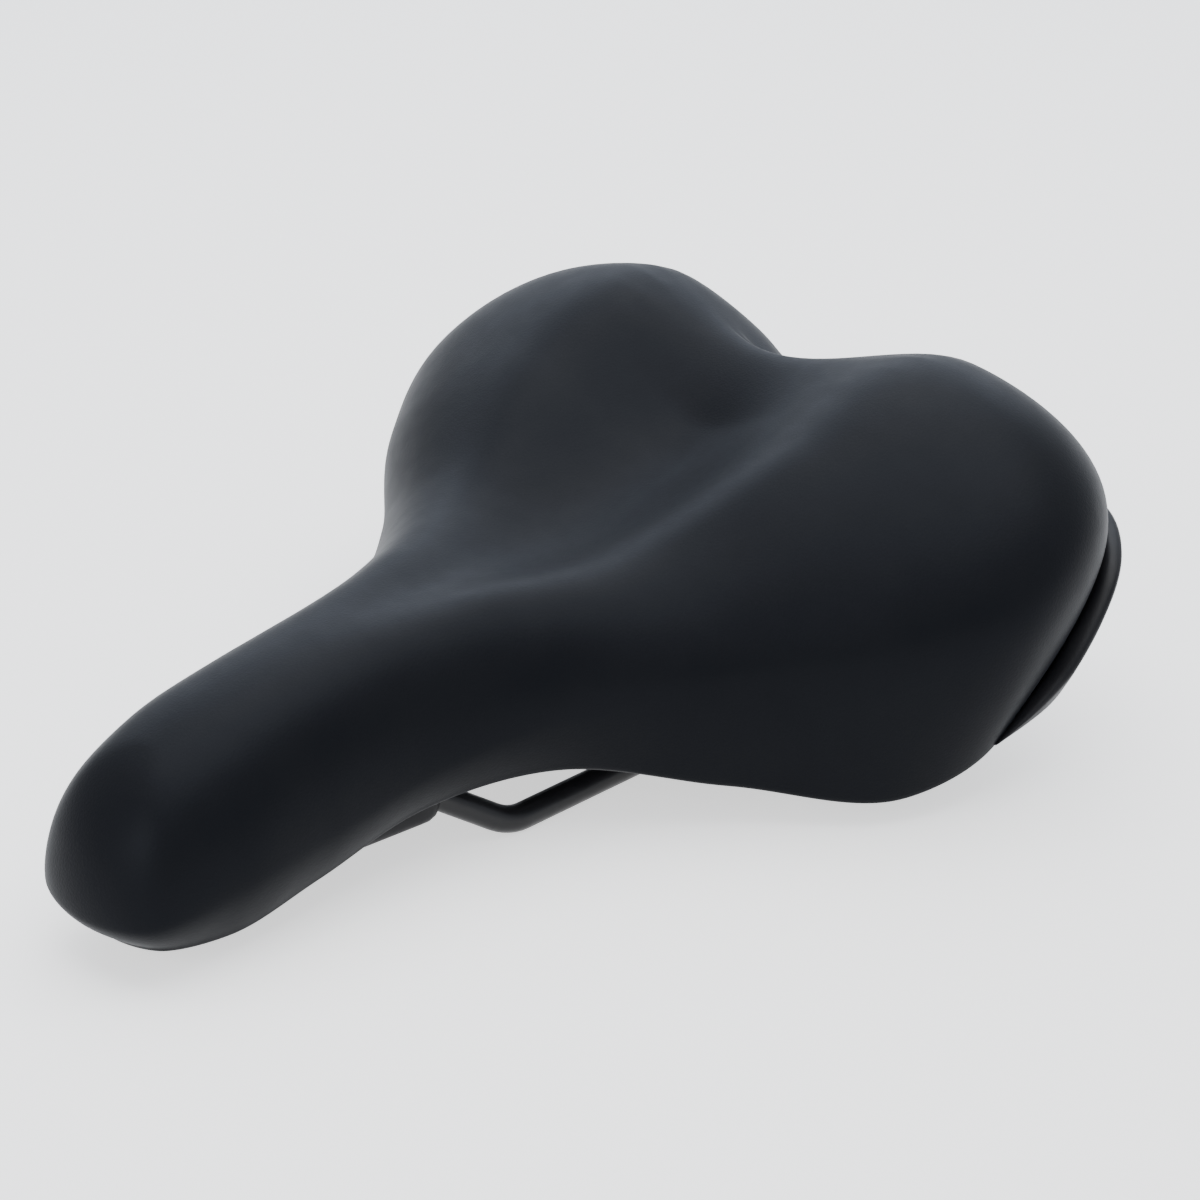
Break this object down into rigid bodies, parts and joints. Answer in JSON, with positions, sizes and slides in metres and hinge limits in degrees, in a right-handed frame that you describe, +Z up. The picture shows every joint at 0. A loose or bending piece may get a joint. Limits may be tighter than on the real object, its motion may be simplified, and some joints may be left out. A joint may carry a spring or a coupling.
{
  "type": "bicycle saddle",
  "caption": "Wide padded bicycle saddle with a lobed rear, a relief groove and two steel rails, sprung at the rear by elastomer blocks.",
  "frame": {"origin": "midway between the rail axes, at the middle of the rails' straight clamp length", "axes": "+Z up, +Y towards the back of the seat with the nose along -Y, +X towards the rider's left"},
  "size_m": [0.222, 0.2741, 0.1007],
  "materials": {
    "cover_skin": "matte moulded skin",
    "foam": "open-cell foam",
    "gel": "soft gel",
    "nylon": "moulded nylon",
    "bridge_nylon": "glass-filled nylon",
    "bumper_plastic": "satin moulded trim",
    "rail_steel": "semi-gloss black",
    "elastomer": "matte",
    "zinc_steel": "zinc plated",
    "insert_brass": "machined"
  },
  "bodies": {
    "rails": {"rail_left": "rail_steel", "rail_right": "rail_steel", "rear_bridge": "bridge_nylon", "rail_pins": "zinc_steel", "elastomer_left": "elastomer", "elastomer_right": "elastomer"},
    "seat": {"cover": "cover_skin", "foam_pad": "foam", "gel_pad_left": "gel", "gel_pad_right": "gel", "base_shell": "nylon", "rear_bumper": "bumper_plastic", "bumper_screws": "zinc_steel", "nose_socket": "nylon", "socket_screws": "zinc_steel", "mount_bolt_left": "zinc_steel", "mount_bolt_right": "zinc_steel", "bolt_washer_left": "zinc_steel", "bolt_washer_right": "zinc_steel", "insert_left": "insert_brass", "insert_right": "insert_brass"}
  },
  "joints": [
    {"name": "rear_suspension", "type": "hinge", "parent": "rails", "child": "seat", "pos_m": [0, -0.073, 0.0158], "axis": [1, 0, 0], "range_deg": [-2, 0], "stiffness_Nm_per_rad": 2400, "deforming": ["elastomer_left", "elastomer_right"]}
  ]
}
